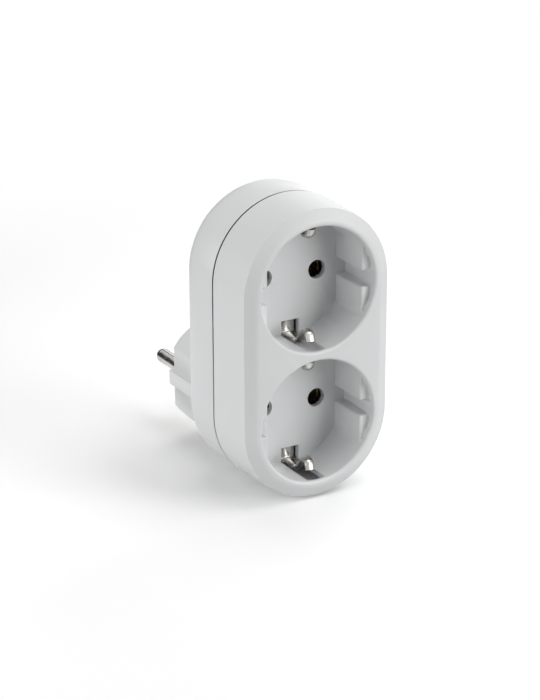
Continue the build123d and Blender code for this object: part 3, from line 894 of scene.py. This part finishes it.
@made_once
def pale_floor(name):
    """Matt pale floor that is seen as white where no shadow falls, and as plain white further out."""
    shader = Shader(name)
    shader.tree.nodes.remove(shader.surface)
    seen = seen_rays(shader.tree)
    matt = shader.node("ShaderNodeBsdfDiffuse")
    shader.link(shader.spread(seen, 0.0, 1.0, stage().floor_tone, stage().floor_gain), matt.inputs["Color"])
    glow = shader.node("ShaderNodeEmission")
    shader.link(shader.spread(seen, 0.0, 1.0, 0.0, stage().floor_lift), glow.inputs["Strength"])
    near = shader.node("ShaderNodeAddShader")
    shader.link(matt.outputs["BSDF"], near.inputs[0])
    shader.link(glow.outputs["Emission"], near.inputs[1])
    white = shader.node("ShaderNodeEmission")
    shader.link(seen, white.inputs["Strength"])
    far = shader.node("ShaderNodeVectorMath", operation="LENGTH")
    shader.link(shader.place, far.inputs[0])
    edge = shader.spread(far.outputs["Value"], *stage().floor_fade, 0.0, 1.0)
    both = shader.node("ShaderNodeMixShader")
    shader.link(edge, both.inputs["Fac"])
    shader.link(near.outputs["Shader"], both.inputs[1])
    shader.link(white.outputs["Emission"], both.inputs[2])
    shader.link(both.outputs["Shader"], shader.tree.nodes["Material Output"].inputs["Surface"])
    return shader.material


def seen_rays(tree):
    """One for rays that the camera sees at first hand or in a gloss or through glass, nought for the rest."""
    path = tree.nodes.new("ShaderNodeLightPath")
    total = path.outputs["Is Camera Ray"]
    for other in ("Is Glossy Ray", "Is Transmission Ray"):
        larger = tree.nodes.new("ShaderNodeMath")
        larger.operation = "MAXIMUM"
        tree.links.new(total, larger.inputs[0])
        tree.links.new(path.outputs[other], larger.inputs[1])
        total = larger.outputs[0]
    return total


def light_world(scene):
    """Even light from all round, and a white background."""
    world = bpy.data.worlds.new("even_light")
    world.use_nodes = True
    tree = world.node_tree
    strength = tree.nodes.new("ShaderNodeMapRange")
    strength.inputs["To Min"].default_value = stage().ambient
    tree.links.new(seen_rays(tree), strength.inputs["Value"])
    sky = tree.nodes["Background"]
    sky.inputs["Color"].default_value = (1.0, 1.0, 1.0, 1.0)
    tree.links.new(strength.outputs["Result"], sky.inputs["Strength"])
    scene.world = world


def hang_light(name, azimuth, elevation, share):
    """A square softbox that faces the adapter from that side, with that share of a lamp's power."""
    data = bpy.data.lights.new(name, "AREA")
    data.shape = "SQUARE"
    data.size = stage().lamp_size
    data.energy = share * stage().lamp_power
    light = add(name, data)
    out = direction(math.radians(azimuth), math.radians(elevation))
    middle = (CAD_BOX[0] + CAD_BOX[1]) / 2
    light.location = middle + stage().lamp_distance * out
    light.rotation_euler = (-out).to_track_quat("-Z", "Y").to_euler()


def stand_flag():
    """A dark card behind the adapter that only its reflections show, as the metal needs something dark to mirror."""
    side = stage().flag_width / 2
    start, end = stage().flag_depth
    bottom = CAD_BOX[0].z + FLAG_GAP
    top = bottom + stage().flag_height
    points = [(x, y, z) for y, z in ((start, bottom), (end, bottom), (end, top)) for x in (-side, side)]
    mesh = bpy.data.meshes.new("dark_flag")
    mesh.from_pydata(points, [], [(0, 1, 3, 2), (2, 3, 5, 4)])
    mesh.materials.append(dark_card())
    flag = add("dark_flag", mesh)
    flag.visible_camera = False
    flag.visible_diffuse = False
    flag.visible_transmission = False
    flag.visible_shadow = False


@made_once
def dark_card(name):
    """Black paper."""
    shader = Shader(name)
    shader.colours(shader.noise(20), finish().card_shade, finish().card)
    shader.surface.inputs["Roughness"].default_value = 0.9
    return shader.material


# Operators


class ADAPTER_OT_housings(bpy.types.Operator):
    """Make the two halves of the housing in moulded plastic with softened edges"""

    bl_idname = "adapter.housings"
    bl_label = "Housings"

    def execute(self, context):
        edge = sizes().moulded_edge
        softened("front_housing", edge, moulded_plastic(), "white_plastic", reshape=crisp_rim)
        softened("rear_housing", edge, moulded_plastic(), "white_plastic")
        return {"FINISHED"}


class ADAPTER_OT_plug_pins(bpy.types.Operator):
    """Plate the two turned pins of the plug with nickel"""

    bl_idname = "adapter.plug_pins"
    bl_label = "Plug Pins"

    def execute(self, context):
        for node in PINS:
            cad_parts[node].material_slots[0].material = polished_nickel()
        return {"FINISHED"}


class ADAPTER_OT_earth_clips(bpy.types.Operator):
    """Bend the earth clip of each socket, with a sprung arm at the top and at the bottom of the well"""

    bl_idname = "adapter.earth_clips"
    bl_label = "Earth Clips"

    def execute(self, context):
        middle = sizes().strip / 2
        bends = [0.0, sizes().crest_bend - middle, sizes().crest_bend + middle, sizes().tight_bend + middle]
        for node in CLIPS:
            axis_z, half = clip_path(node)
            above = [(y, axis_z + r) for y, r in reversed(half)]
            below = [(y, axis_z - r) for y, r in half]
            narrowing = half[0][0] - sizes().floor + sizes().shoulder, half[1][0], half[2][0]
            widths = sizes().clip_width, sizes().arm_width, sizes().nose_width
            path = above + below, bends + bends[::-1]
            strip_piece(node, *path, widths, narrowing, spring_strip(), "nickel", sizes().clip_crown)
        return {"FINISHED"}


class ADAPTER_OT_plug_earth(bpy.types.Operator):
    """Bend the plug's earth contact and the bar that joins it to the clips"""

    bl_idname = "adapter.plug_earth"
    bl_label = "Plug Earth"

    def execute(self, context):
        bends = [0.0, *2 * [sizes().tight_bend + sizes().strip / 2], 0.0]
        low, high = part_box("plug_earth_contact")
        arms = [(high.y, high.z), (low.y, high.z), (low.y, low.z), (high.y, low.z)]
        even = even_width(sizes().clip_width, low.y)
        strip_piece("plug_earth_contact", arms, bends, *even, polished_nickel(), "nickel")
        low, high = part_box("earth_bar")
        run = [(low.y, high.z), (low.y, low.z), (high.y, low.z), (high.y, low.z + sizes().earth_tab)]
        even = even_width(sizes().earth_bar_width, low.y)
        strip_piece("earth_bar", run, bends, *even, stamped_brass(), "brass")
        return {"FINISHED"}


class ADAPTER_OT_live_parts(bpy.types.Operator):
    """Make the bars and leaf contacts of the two poles in stamped brass"""

    bl_idname = "adapter.live_parts"
    bl_label = "Bars and Contacts"

    def execute(self, context):
        for node in LIVE_PARTS:
            softened(node, sizes().stamped_edge, stamped_brass(), "brass", segments=1)
        return {"FINISHED"}


class ADAPTER_OT_rivets(bpy.types.Operator):
    """Set the domed rivets that join the contacts to their bars and the earth strips to each other"""

    bl_idname = "adapter.rivets"
    bl_label = "Rivets"

    def execute(self, context):
        low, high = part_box("contact_rivets")
        head = sizes().rivet_head
        radius = (high.y - low.y) / 2
        grip = sizes().contact_grip
        out = high.x - head - grip / 2
        places = [
            (x, (low.y + high.y) / 2, z) for x in (-out, out) for z in (low.z + radius, high.z - radius)
        ]
        turn = (0.0, math.pi / 2, 0.0)
        set_pieces("contact_rivets", rivet_profile(radius, grip), places, turn, stamped_brass(), "brass")
        joins = [(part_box(node)[1].y, sum(corner.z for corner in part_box(node)) / 2) for node in CLIPS]
        tab_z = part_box("earth_bar")[0].z + sizes().earth_tab - sizes().earth_bar_width / 2
        joins.append((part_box("plug_earth_contact")[0].y, tab_z))
        places = [(0.0, y, z) for y, z in joins]
        turn = (math.pi / 2, 0.0, 0.0)
        set_pieces("earth_rivets", rivet_profile(radius, 2 * sizes().strip), places, turn, stamped_brass(), "brass")
        return {"FINISHED"}


class ADAPTER_OT_screws(bpy.types.Operator):
    """Set the two housing screws with their cross recesses"""

    bl_idname = "adapter.screws"
    bl_label = "Screws"

    def execute(self, context):
        low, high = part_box("housing_screws")
        radius = (high.z - low.z) / 2
        seat = high.y - sizes().screw_head
        places = [(x, seat, (low.z + high.z) / 2) for x in (low.x + radius, high.x - radius)]
        set_pieces(
            "housing_screws",
            screw_profile(radius, seat - low.y),
            places,
            (-math.pi / 2, 0.0, 0.0),
            zinc_plate(),
            "screw_steel",
            drive=(sizes().drive_length, sizes().drive_width, sizes().drive_depth),
            top=sizes().screw_head,
        )
        return {"FINISHED"}


class ADAPTER_OT_stage(bpy.types.Operator):
    """Set up the camera, the floor and the soft light"""

    bl_idname = "adapter.stage"
    bl_label = "Camera and Light"

    def execute(self, context):
        place_camera(context.scene)
        lay_floor()
        light_world(context.scene)
        for lamp in LAMPS:
            hang_light(*lamp)
        stand_flag()
        context.scene.view_settings.view_transform = "Standard"
        return {"FINISHED"}


class ADAPTER_PT_panel(bpy.types.Panel):
    """Adapter's operators in the sidebar"""

    bl_label = "Adapter"
    bl_idname = "ADAPTER_PT_panel"
    bl_space_type = "VIEW_3D"
    bl_region_type = "UI"
    bl_category = "Adapter"

    def draw(self, context):
        for operator in OPERATORS:
            self.layout.operator(operator.bl_idname)
        for group in (sizes(), finish(), stage()):
            box = self.layout.box()
            for key in group.bl_rna.properties.keys():
                if key not in ("rna_type", "name"):
                    box.prop(group, key)


GROUPS = {"adapter_sizes": AdapterSizes, "adapter_finish": AdapterFinish, "adapter_stage": AdapterStage}
OPERATORS = (
    ADAPTER_OT_housings,
    ADAPTER_OT_plug_pins,
    ADAPTER_OT_earth_clips,
    ADAPTER_OT_plug_earth,
    ADAPTER_OT_live_parts,
    ADAPTER_OT_rivets,
    ADAPTER_OT_screws,
    ADAPTER_OT_stage,
)
CLASSES = (*GROUPS.values(), *OPERATORS, ADAPTER_PT_panel)


def register():
    for kind in CLASSES:
        bpy.utils.register_class(kind)
    for key, kind in GROUPS.items():
        setattr(bpy.types.Scene, key, PointerProperty(type=kind))


def unregister():
    for key in GROUPS:
        delattr(bpy.types.Scene, key)
    for kind in reversed(CLASSES):
        bpy.utils.unregister_class(kind)


def main():
    register()
    bent_strip_tree("Bent strip")
    set_pieces_tree("Set pieces")
    bpy.ops.adapter.housings()
    bpy.ops.adapter.plug_pins()
    bpy.ops.adapter.earth_clips()
    bpy.ops.adapter.plug_earth()
    bpy.ops.adapter.live_parts()
    bpy.ops.adapter.rivets()
    bpy.ops.adapter.screws()
    bpy.ops.adapter.stage()


if __name__ == "__main__":
    main()
